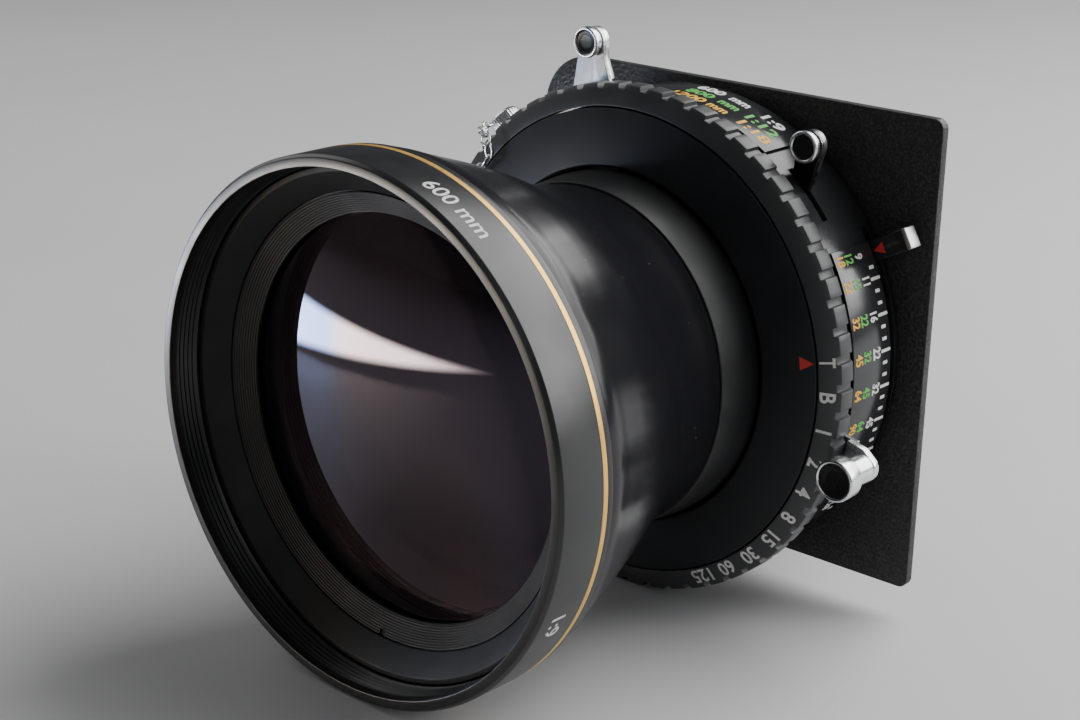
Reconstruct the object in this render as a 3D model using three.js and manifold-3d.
// Large-format telephoto lens in a size 3 leaf shutter, on a square lens board.
// Millimetres. +X right and +Z up as seen from the front, and the lens looks along -Y.
// Origin: rear face of the board, on its lower margin straight below the lens axis.
// Inside the "assembly" group the lens axis is the Y axis, and y = 0 is the board's rear face.

import * as THREE from 'three';
import { mergeVertices } from 'three/addons/utils/BufferGeometryUtils.js';
import Module from 'manifold-3d';

const wasm = await Module();
wasm.setup();

// ---- driving dimensions ----
const AXIS_HEIGHT = 42;          // lens axis above the origin
const FRONT = -103.5;            // front face of the rim
const RIM_R = 50;                // front rim, outside
const RIM_DEPTH = 13;            // front rim, front to back
const FILTER_R = 47.5;           // M95 filter thread
const BARREL_REAR = -41.1;       // rear edge of the glossy barrel
const PLATE_FRONT = -30.6;       // shutter cover plate at its hole
const SPEED_R = 51.7;            // speed ring, outside
const SPEED_REAR = -22.4;        // rear face of the speed ring
const HOUSING_R = 48.7;          // shutter housing, outside
const HOUSING_REAR = -2.3;       // housing's seat on the board
const BOARD = { width: 98, height: 95, thick: 2, middleX: 4.7, middleZ: 2.1, corner: 2, topLeft: 12 };
const MOUNT_R = 31.9;            // shutter thread that passes through the board
const REAR_END = 33;             // rear end of the rear cell
const COCKING_Y = -22.1;         // front face of the cocking arm inside the housing
const COCKING_STEP = 1.4;        // how far the cocking arm steps forward outside the speed ring
const LEVER_Y = -16.4;           // front face of the release and preview arms
const SHEET = 1.0;               // thickness of the lever arms
const FLANGE = 2.0;              // depth of an arm's bent edge
const FLANGE_WALL = 0.7;         // thickness of an arm's bent edge
const GAP = 0.3;                 // clearance between separate pieces

const FINE = 40;                 // segments round the outside pieces
const COARSE = 24;               // segments round the inside pieces
const KNOB_SEGMENTS = 14;

// Levers: angles from +X towards +Z. reach is the distance of a knob's axis from the lens axis,
// mouth is the share of the knob's radius taken by its hollow, and seat is the arm's front face.
const COCKING = {
  angle: -13.3, reach: 56.26, knobR: 4.2, mouth: 0.82, shankR: 2.9, front: -32.8, back: -29.2,
  seat: COCKING_Y - COCKING_STEP,
};
const PREVIEW = {
  angle: 52.3, reach: 55.4, knobR: 3.1, mouth: 0.76, shankR: 2.7, front: -18.5, back: -17.1, seat: LEVER_Y,
};
const RELEASE = {
  angle: 109.1, reach: 59.65, knobR: 3.15, mouth: 0.76, shankR: 2.7, front: -18.8, back: -17.1,
  seat: LEVER_Y,
};
const POINTER = { middle: 28.35, halfWidth: 2.1, reach: 58.9, front: -6.2, sheet: 1.2, tabDepth: 3.4 };
const SYNC_ANGLE = 140;
const CHAIN_STUD_ANGLE = 155;
const SHUTTER_BLADES = 5;
const IRIS_BLADES = 7;
const SHUTTER_CLOSED = 34;       // turn of a shutter blade from open to closed

// ---- shape helpers ----
const rad = THREE.MathUtils.degToRad;

function at(x, z) {
  return new THREE.Vector2(x, z);
}

function polar(radius, degrees) {
  return at(radius * Math.cos(rad(degrees)), radius * Math.sin(rad(degrees)));
}

// One closed body: shared vertices, no empty faces, faces pointing out.
function solid(source) {
  let geometry = source.clone();
  geometry.deleteAttribute('normal');
  geometry.deleteAttribute('uv');
  geometry = mergeVertices(geometry, 1e-4);
  const spot = geometry.getAttribute('position');
  const index = geometry.getIndex().array;
  const a = new THREE.Vector3();
  const b = new THREE.Vector3();
  const c = new THREE.Vector3();
  const faces = [];
  let volume = 0;
  for (let i = 0; i < index.length; i += 3) {
    const face = [index[i], index[i + 1], index[i + 2]];
    if (new Set(face).size < 3) continue;
    faces.push(face);
    a.fromBufferAttribute(spot, face[0]);
    b.fromBufferAttribute(spot, face[1]);
    c.fromBufferAttribute(spot, face[2]);
    volume += a.dot(b.cross(c));
  }
  if (volume < 0) faces.forEach((face) => face.reverse());
  geometry.setIndex(faces.flat());
  return geometry;
}

function toManifold(geometry) {
  const closed = solid(geometry);
  return new wasm.Manifold(new wasm.Mesh({
    numProp: 3,
    vertProperties: new Float32Array(closed.getAttribute('position').array),
    triVerts: new Uint32Array(closed.getIndex().array),
  }));
}

function fromManifold(body) {
  const mesh = body.getMesh();
  const geometry = new THREE.BufferGeometry();
  geometry.setAttribute('position', new THREE.BufferAttribute(mesh.vertProperties, mesh.numProp));
  geometry.setIndex(new THREE.BufferAttribute(mesh.triVerts, 1));
  return geometry;
}

function cut(base, ...tools) {
  const subtract = (body, tool) => body.subtract(toManifold(tool));
  return fromManifold(tools.reduce(subtract, toManifold(base)));
}

function join(base, ...more) {
  const unite = (body, piece) => body.add(toManifold(piece));
  return fromManifold(more.reduce(unite, toManifold(base)));
}

// A closed section of [radius, y] points turned about the Y axis.
function turned(section, segments = FINE) {
  const points = [...section, section[0]].map(([r, y]) => new THREE.Vector2(r, y));
  return solid(new THREE.LatheGeometry(points, segments));
}

function tube(inner, outer, y0, y1, segments = COARSE) {
  return turned([[inner, y0], [outer, y0], [outer, y1], [inner, y1]], segments);
}

// A section that starts and ends on the axis.
function round(section, segments = COARSE) {
  return solid(new THREE.LatheGeometry(section.map(([r, y]) => new THREE.Vector2(r, y)), segments));
}

function rod(radius, y0, y1, segments = KNOB_SEGMENTS) {
  return round([[0, y0], [radius, y0], [radius, y1], [0, y1]], segments);
}

// An outline in X and Z, extruded from y0 to y1.
function plate(shape, y0, y1, curveSegments = 6) {
  const geometry = new THREE.ExtrudeGeometry(shape, { depth: y1 - y0, bevelEnabled: false, curveSegments });
  geometry.rotateX(Math.PI / 2);
  geometry.translate(0, y1, 0);
  return solid(geometry);
}

function polygon(points) {
  return new THREE.Shape(points.map((point) => new THREE.Vector2(point.x, point.y)));
}

function arc(radius, from, to, steps) {
  return Array.from({ length: steps + 1 }, (_, i) => polar(radius, from + ((to - from) * i) / steps));
}

// A ring segment between two radii and two angles.
function sector(inner, outer, from, to, y0, y1, steps = 8) {
  return plate(polygon([...arc(outer, from, to, steps), ...arc(inner, to, from, steps)]), y0, y1);
}

// Moves a piece made round the Y axis so that its axis stands at a radius and angle.
function atPolar(geometry, radius, degrees) {
  const spot = polar(radius, degrees);
  return geometry.translate(spot.x, 0, spot.y);
}

// Turns a piece made round the Y axis so that +Y points outwards at an angle.
function outwards(geometry, degrees, y) {
  geometry.rotateZ(-Math.PI / 2);
  geometry.rotateY(-rad(degrees));
  return geometry.translate(0, y, 0);
}

// ---- materials ----
function paint(color, roughness, metalness = 0) {
  return new THREE.MeshStandardMaterial({ color, roughness, metalness });
}

const satinBlack = paint('#17181a', 0.42);
const glossBlack = paint('#0b0b0d', 0.12);
const matteBlack = paint('#101113', 0.7);
const greyAnodised = paint('#232528', 0.5, 0.3);
const gold = paint('#c89440', 0.3, 1);
const chrome = paint('#c8cacc', 0.15, 1);
const steel = paint('#8b8d90', 0.35, 1);
const blackSteel = paint('#1a1b1d', 0.45, 0.6);
const brass = paint('#a5823f', 0.35, 1);
const glass = paint('#1c1526', 0.05);
const crinkle = paint('#141517', 0.75);

const assembly = new THREE.Group();
assembly.position.set(0, 0, AXIS_HEIGHT);

function add(name, geometry, material) {
  const mesh = new THREE.Mesh(geometry, material);
  mesh.name = name;
  assembly.add(mesh);
}

// ---- front cell ----
const RIM_BACK = FRONT + RIM_DEPTH;
const GOLD_FROM = FRONT + 10.4;
const GOLD_TO = FRONT + 11.6;
const BAFFLE_FRONT = FRONT + 6.4;
const CONE_R = 42.1;             // where the baffle cone meets the ridged ring
const GLASS_R = 37.8;            // clear aperture of the front element
const GLASS_EDGE = -90.1;        // front element's surface at its clear aperture

function makeFrontRim() {
  return turned([
    [FILTER_R + 0.3, FRONT], [RIM_R - 0.8, FRONT], [RIM_R, FRONT + 0.8], [RIM_R, GOLD_FROM],
    [RIM_R - 0.9, GOLD_FROM], [RIM_R - 0.9, GOLD_TO], [RIM_R - 0.1, GOLD_TO],
    [RIM_R - 0.1, RIM_BACK], [FILTER_R - 0.2, RIM_BACK], [FILTER_R - 0.2, FRONT + 1],
  ]);
}

function makeGoldInlay() {
  return turned([
    [RIM_R - 0.8, GOLD_FROM + 0.1], [RIM_R - 0.15, GOLD_FROM + 0.1],
    [RIM_R - 0.15, GOLD_TO - 0.1], [RIM_R - 0.8, GOLD_TO - 0.1],
  ]);
}

function makeFrontBarrel() {
  const spigot = [[43.9, FRONT + 10.7], [46.9, FRONT + 10.7], [46.9, RIM_BACK + GAP]];
  const taper = [
    [49.3, RIM_BACK + GAP], [49.0, -87.5], [46.3, -79.5], [43.7, -71.5], [40.4, -63.5],
    [37.0, -55.5], [35.0, -47.5], [34.2, BARREL_REAR],
  ];
  const bore = [[30.5, BARREL_REAR], [30.5, -52], [38.4, -70], [41.5, -80], [43.9, -88.2]];
  return turned([...spigot, ...taper, ...bore]);
}

function makeBaffleRing() {
  const back = FRONT + 10.4;
  return turned([
    [47.0, BAFFLE_FRONT], [47.0, back], [CONE_R, back], [CONE_R, back - 0.4], [46.0, BAFFLE_FRONT],
  ]);
}

function makeRidgedRing() {
  return turned([
    [CONE_R - GAP, -93.3], [CONE_R - GAP, -92.8], [43.5, -92.8], [43.5, -90.4],
    [GLASS_R, -90.4], [GLASS_R, -90.9],
  ]);
}

// A lens element: front and rear faces as arcs, given by their sagitta (+ bulges towards -Y).
function element(radius, frontEdge, frontSag, rearEdge, rearSag, steps = 3) {
  const face = (edge, sag, i) => [(radius * i) / steps, edge - sag * (1 - (i / steps) ** 2)];
  const section = [];
  for (let i = 0; i <= steps; i += 1) section.push(face(frontEdge, frontSag, i));
  for (let i = steps; i >= 0; i -= 1) section.push(face(rearEdge, rearSag, i));
  return round(section);
}

function makeNeckCollar() {
  return turned([
    [30.2, -46], [30.2, BARREL_REAR + GAP], [34.6, BARREL_REAR + GAP], [35.3, -32],
    [35.3, -30.3], [28.8, -30.3], [28.8, -20.4], [27, -20.4], [27, -46],
  ]);
}

add('front_rim', makeFrontRim(), satinBlack);
add('gold_inlay_ring', makeGoldInlay(), gold);
add('front_barrel', makeFrontBarrel(), glossBlack);
add('front_baffle_ring', makeBaffleRing(), matteBlack);
add('front_retaining_ring', makeRidgedRing(), matteBlack);
add('front_element', element(40.8, GLASS_EDGE + 0.9, 5.4, -83.2, -0.8), glass);
add('element_spacer', turned([[38.2, -82.8], [41, -82.8], [40, -79.9], [36, -79.9]], COARSE), matteBlack);
add('second_element', element(38, -79.4, 1.6, -73.5, 1), glass);
add('third_element', element(33, -66, -1.5, -60.6, 1.2), glass);
add('front_lock_ring', tube(28.5, 32.2, -60.1, -57.6), matteBlack);
add('neck_collar', makeNeckCollar(), greyAnodised);

// ---- shutter: fixed pieces ----
function makeMechanismPlate() {
  return turned([
    [29.2, -29.9], [33.8, -29.9], [33.8, -20], [46.2, -20], [46.2, -19.2], [29.2, -19.2],
  ], COARSE);
}

function makeCoverPlate() {
  return turned([
    [35.8, PLATE_FRONT + 0.3], [36.3, PLATE_FRONT], [47.1, -28.7], [47.1, -27.5], [35.8, -27.5],
  ]);
}

function makeHousing() {
  const shell = turned([
    [46.5, -26], [HOUSING_R, -26], [HOUSING_R, -4.4], [48, HOUSING_REAR],
    [MOUNT_R, HOUSING_REAR], [MOUNT_R, 4.2], [29.3, 4.2], [29.3, -4.3], [46.5, -4.3],
  ]);
  const armSlot = (from, to, y) => sector(45, 50, from, to, y - GAP, y + SHEET + GAP);
  const pointerSlot = sector(45, 50, -41, 34, -6.6, -4.6);
  return cut(shell, armSlot(-72, -3, COCKING_Y), armSlot(38.2, 52.5, LEVER_Y),
    armSlot(104.5, 124, LEVER_Y), pointerSlot);
}

function scalePlate(from, to) {
  return sector(HOUSING_R + 0.3, HOUSING_R + 0.6, from, to, -19.4, -6.9, 12);
}

add('mechanism_plate', makeMechanismPlate(), matteBlack);
add('retard_unit', sector(36, 45.2, 205, 255, -26.9, -22, 6), steel);
for (let i = 0; i < 3; i += 1) {
  add(`mechanism_screw_${i + 1}`, atPolar(rod(1.6, -21.6, -20.3, 8), 43, 20 + 120 * i), steel);
}
add('shutter_housing', makeHousing(), satinBlack);
add('front_cover_plate', makeCoverPlate(), matteBlack);
add('aperture_scale_plate', scalePlate(-42, 31), satinBlack);
add('focal_scale_plate', scalePlate(58, 100), satinBlack);

// ---- shutter: speed ring, aperture ring and levers ----
function makeSpeedRing() {
  const flangeBack = -26.3;
  return turned([
    [47.4, -28.6], [SPEED_R, -27.05], [SPEED_R, SPEED_REAR - 0.7], [SPEED_R - 0.6, SPEED_REAR],
    [49.3, SPEED_REAR], [49.3, flangeBack], [47.4, flangeBack],
  ]);
}

// A bar outline between two radii, parallel to the direction of an angle.
function bar(angle, halfWidth, inner, outer) {
  const along = polar(1, angle);
  const across = polar(1, angle + 90);
  const corner = (r, side) => along.clone().multiplyScalar(r).addScaledVector(across, side * halfWidth);
  return polygon([corner(inner, 1), corner(outer, 1), corner(outer, -1), corner(inner, -1)]);
}

function makeControlRing() {
  const { middle, halfWidth, reach, front, sheet, tabDepth } = POINTER;
  const back = front + sheet;
  const ring = tube(31, 45.6, front, back);
  const arm = plate(bar(middle, halfWidth, 44, reach), front, back);
  const tab = plate(bar(middle, halfWidth, reach - 1, reach), back - tabDepth, back);
  return join(ring, arm, tab);
}

// A knob with a hollow front, and a shank down to the arm that carries it.
function makeKnob(lever) {
  const { knobR, mouth, shankR, front, back, seat } = lever;
  return atPolar(round([
    [0, front + 1.2], [mouth * knobR, front + 1.2], [mouth * knobR, front],
    [knobR - 0.4, front], [knobR, front + 0.4], [knobR, back], [shankR, back],
    [shankR, seat - GAP], [0, seat - GAP],
  ], KNOB_SEGMENTS), lever.reach, lever.angle);
}

function makeKnobCap(lever) {
  const radius = lever.mouth * lever.knobR - GAP;
  return atPolar(rod(radius, lever.front - 0.1, lever.front + 0.9, 12), lever.reach, lever.angle);
}

// The round end of an arm, as points from one side to the other about a knob's axis.
function roundEnd(lever, radius, fromAngle, toAngle, steps = 6) {
  const hub = polar(lever.reach, lever.angle);
  return arc(radius, fromAngle, toAngle, steps).map((point) => point.add(hub));
}

// A flat arm whose edge is bent back along one side and round its end.
function makeFlangedArm(face, edge) {
  const sheet = plate(polygon(face), LEVER_Y, LEVER_Y + SHEET);
  const flange = plate(polygon(edge), LEVER_Y, LEVER_Y + FLANGE);
  return join(sheet, flange);
}

function makeReleaseArm() {
  const endR = 2.9;
  const face = [
    polar(39.5, 107), at(-13.9, 45.5), at(-14.9, 49.2), at(-16.3, 52.6),
    ...roundEnd(RELEASE, endR, -10, 190, 8),
    at(-23.3, 52.65), at(-24.3, 46.4), at(-23.2, 42.5), polar(39.5, 119), polar(39.5, 113),
  ];
  const edge = [
    at(-14.9, 49.2), at(-16.3, 52.6), ...roundEnd(RELEASE, endR, -10, 170),
    ...roundEnd(RELEASE, endR - FLANGE_WALL, 170, -10), at(-17, 52.8), at(-15.6, 49.5),
  ];
  return makeFlangedArm(face, edge);
}

function makePreviewArm() {
  const endR = 2.9;
  const face = [
    polar(41, 45.6), polar(49.3, 45.7), at(36, 40.97), ...roundEnd(PREVIEW, endR, -15, 190, 8),
    at(30.85, 40.1), at(30.3, 34.6), polar(41, 49.5),
  ];
  const edge = [
    at(34.7, 36.3), at(36, 40.97), ...roundEnd(PREVIEW, endR, -15, 165),
    ...roundEnd(PREVIEW, endR - FLANGE_WALL, 165, -15), at(35.3, 41.15), at(34, 36.5),
  ];
  return makeFlangedArm(face, edge);
}

// The cocking arm passes behind the speed ring and steps forward outside it.
function makeCockingArm() {
  const clear = SPEED_R + GAP;
  const outline = [
    ...arc(clear, -9.2, -17.6, 4), at(53.9, -15.85), ...roundEnd(COCKING, 2.9, -100, 35, 8), at(54.9, -9.3),
  ];
  const outer = plate(polygon(outline), COCKING.seat, COCKING_Y + 0.2);
  const inner = sector(39.7, clear + 1.3, -17.2, -9.4, COCKING_Y, COCKING_Y + SHEET, 4);
  return join(outer, inner);
}

add('speed_ring', makeSpeedRing(), greyAnodised);
add('aperture_control_ring', makeControlRing(), blackSteel);

// The release lever turns on its own stud, so its root has a hole for it.
const STUD = { radius: 1.5, reach: 42.6, angle: 113.5 };
const studHole = atPolar(rod(STUD.radius + 0.25, LEVER_Y - 1, LEVER_Y + 2, 12), STUD.reach, STUD.angle);

add('cocking_lever', makeCockingArm(), steel);
add('cocking_knob', makeKnob(COCKING), chrome);
add('cocking_knob_cap', makeKnobCap(COCKING), matteBlack);
add('preview_lever', makePreviewArm(), blackSteel);
add('preview_knob', makeKnob(PREVIEW), chrome);
add('preview_knob_cap', makeKnobCap(PREVIEW), matteBlack);
add('release_lever', cut(makeReleaseArm(), studHole), steel);
add('release_knob', makeKnob(RELEASE), chrome);
add('release_knob_cap', makeKnobCap(RELEASE), matteBlack);
add('release_stud', atPolar(rod(STUD.radius, -18, LEVER_Y + SHEET, 12), STUD.reach, STUD.angle), steel);

// ---- shutter: blades ----
const SHUTTER_PIVOT = 41;
const IRIS_PIVOT = 31;
const BLADE_PITCH = 0.64;
const BLADE_THICK = 0.33;

function blade(inner, outer, span, y0) {
  return sector(inner, outer, -6, span, y0, y0 + BLADE_THICK, 7);
}

function makeShutterBlade(i) {
  const body = blade(23.3, 44, 82, -15.1 + BLADE_PITCH * i);
  body.translate(-SHUTTER_PIVOT, 0, 0).rotateY(-rad(SHUTTER_CLOSED)).translate(SHUTTER_PIVOT, 0, 0);
  return body.rotateY(-rad((360 / SHUTTER_BLADES) * i));
}

function makeIrisBlade(i) {
  return blade(23.2, 33.5, 100, -10.95 + BLADE_PITCH * i).rotateY(-rad((360 / IRIS_BLADES) * i));
}

add('blade_drive_ring', tube(40, 45.8, -18.9, -18.3), steel);
for (let i = 0; i < SHUTTER_BLADES; i += 1) {
  add(`shutter_blade_${i + 1}`, makeShutterBlade(i), blackSteel);
}
add('blade_plate', tube(24, 46.2, -11.85, -11.25), brass);
for (let i = 0; i < IRIS_BLADES; i += 1) {
  add(`iris_blade_${i + 1}`, makeIrisBlade(i), blackSteel);
}

// ---- sockets, sync cap and its chain ----
const SYNC_Y = -15.5;
const STUD_ROOT = polar(HOUSING_R + GAP, CHAIN_STUD_ANGLE);
const CABLE_SOCKET_ANGLE = 172;

function makeSyncSocket() {
  const post = round([
    [0, HOUSING_R + GAP], [3.2, HOUSING_R + GAP], [3.2, 51.5], [1.9, 51.5], [1.9, 56.2], [0, 56.2],
  ], 12);
  return outwards(post, SYNC_ANGLE, SYNC_Y);
}

function makeSyncCap() {
  const cup = round([
    [0, 56.5], [2.3, 56.5], [2.3, 55.1], [3.6, 55.1], [3.6, 57.3], [3.2, 57.8], [0, 57.8],
  ], 16);
  return outwards(cup, SYNC_ANGLE, SYNC_Y);
}

// Stands parallel to the sync cap's axis, so that the chain's last link can slide along it.
function makeChainStud() {
  const pin = round([[0, 0], [0.7, 0], [0.7, 6.6], [1.5, 6.6], [1.5, 7.3], [0, 7.3]], 10);
  return outwards(pin, SYNC_ANGLE, SYNC_Y).translate(STUD_ROOT.x, 0, STUD_ROOT.y);
}

// The chain's route, chosen by hand: from the cap, over the speed ring's edge, down its front and
// back over the edge to the ring on the stud.
const CHAIN_ROUTE = [
  [-43.1, -21.3, 36.2], [-40.6, -25.6, 36.4], [-35.6, -30.5, 36.2], [-34.0, -30.9, 33.4],
  [-36.4, -30.8, 29.6], [-41.0, -30.7, 24.2], [-45.6, -30.3, 21.6], [-49.2, -27.6, 21.6],
  [-50.1, -23.9, 21.7], [-48.3, -20.4, 21.8], [-45.9, -18.6, 21.8],
].map(([x, y, z]) => new THREE.Vector3(x, y, z));
const LINK = { radius: 0.95, wire: 0.33, stretch: 1.65, pitch: 2.62 };

// Oval links along the route, each turned a quarter from the last, joined to one rigid body.
function makeChain() {
  const ringRadius = 1.9;
  const route = new THREE.CatmullRomCurve3(CHAIN_ROUTE);
  const count = Math.floor(route.getLength() / LINK.pitch);
  const links = [];
  for (let i = 0; i <= count; i += 1) {
    const spot = route.getPointAt(i / count);
    const way = route.getTangentAt(i / count);
    const link = new THREE.TorusGeometry(LINK.radius, LINK.wire, 5, 10).scale(1, LINK.stretch, 1);
    link.rotateY((i % 2) * rad(90));
    link.applyQuaternion(new THREE.Quaternion().setFromUnitVectors(new THREE.Vector3(0, 1, 0), way));
    links.push(link.translate(spot.x, spot.y, spot.z));
  }
  const ringSpot = STUD_ROOT.clone().add(polar(1.6, SYNC_ANGLE));
  const ring = new THREE.TorusGeometry(ringRadius, 0.35, 5, 12).rotateX(Math.PI / 2);
  outwards(ring, SYNC_ANGLE, SYNC_Y).translate(ringSpot.x, 0, ringSpot.y);
  return join(links[0], ...links.slice(1), ring);
}

function makeCableSocket() {
  const root = HOUSING_R + GAP;
  const section = [[1.5, root], [3.4, root], [3.4, 52], [2.6, 52], [2.6, 57], [1.5, 57]];
  return outwards(turned(section, 14), CABLE_SOCKET_ANGLE, SYNC_Y);
}

add('sync_socket', makeSyncSocket(), steel);
add('sync_cap', makeSyncCap(), chrome);
add('chain_stud', makeChainStud(), chrome);
add('sync_cap_chain', makeChain(), chrome);
add('cable_release_socket', makeCableSocket(), chrome);

// ---- board and rear cell ----
const NUT_R = 38.5;              // ring that holds the shutter on the board
const NUT_SEAT_DEPTH = 0.3;      // shallow seat for it in the board's rear face

function makeBoard() {
  const { width, height, thick, middleX, middleZ, corner, topLeft } = BOARD;
  const corners = [
    { x: 1, z: 1, radius: corner, from: 0 }, { x: -1, z: 1, radius: topLeft, from: 90 },
    { x: -1, z: -1, radius: corner, from: 180 }, { x: 1, z: -1, radius: corner, from: 270 },
  ];
  const outline = corners.flatMap(({ x, z, radius, from }) => {
    const middle = at(middleX + x * (width / 2 - radius), middleZ + z * (height / 2 - radius));
    return arc(radius, from, from + 90, radius > corner ? 8 : 3).map((point) => point.add(middle));
  });
  const shape = polygon(outline);
  shape.holes.push(new THREE.Path(arc(MOUNT_R + 0.5, 360, 0, FINE).slice(0, FINE)));
  const nutSeat = tube(MOUNT_R - 1, NUT_R + 0.8, -NUT_SEAT_DEPTH, 1, FINE);
  return cut(plate(shape, -thick, 0), nutSeat);
}

function makeBoardNut() {
  const front = -NUT_SEAT_DEPTH + 0.1;
  const nut = tube(MOUNT_R + GAP, NUT_R, front, front + 2.7, FINE);
  const notch = (angle) => sector(36.5, 40, angle - 4, angle + 4, -1, 4, 2);
  return cut(nut, notch(0), notch(90), notch(180), notch(270));
}

function makeRearBarrel() {
  return turned([
    [26.8, -3.5], [28.9, -3.5], [28.9, 4.6], [33, 4.6], [33, 9], [31.5, 10.5],
    [31.5, REAR_END - 2], [30.5, REAR_END], [26.8, REAR_END],
  ]);
}

add('lens_board', makeBoard(), crinkle);
add('board_retaining_ring', makeBoardNut(), satinBlack);
add('rear_cell_barrel', makeRearBarrel(), satinBlack);
add('fourth_element', element(26.4, 0.5, -2.2, 5, 1.5), glass);
add('rear_spacer', tube(24.5, 26.4, 5.4, 12), matteBlack);
add('fifth_element', element(26.4, 12.4, 2.4, 17.5, -1), glass);
add('rear_inner_spacer', tube(24.5, 26.4, 17.9, 22.2), matteBlack);
add('sixth_element', element(26.4, 22.6, -1.8, 27.4, -2.4), glass);
add('rear_retaining_ring', tube(23.6, 26.4, 28.4, 31.2), matteBlack);

const part = new THREE.Group();
part.add(assembly);

export default part;
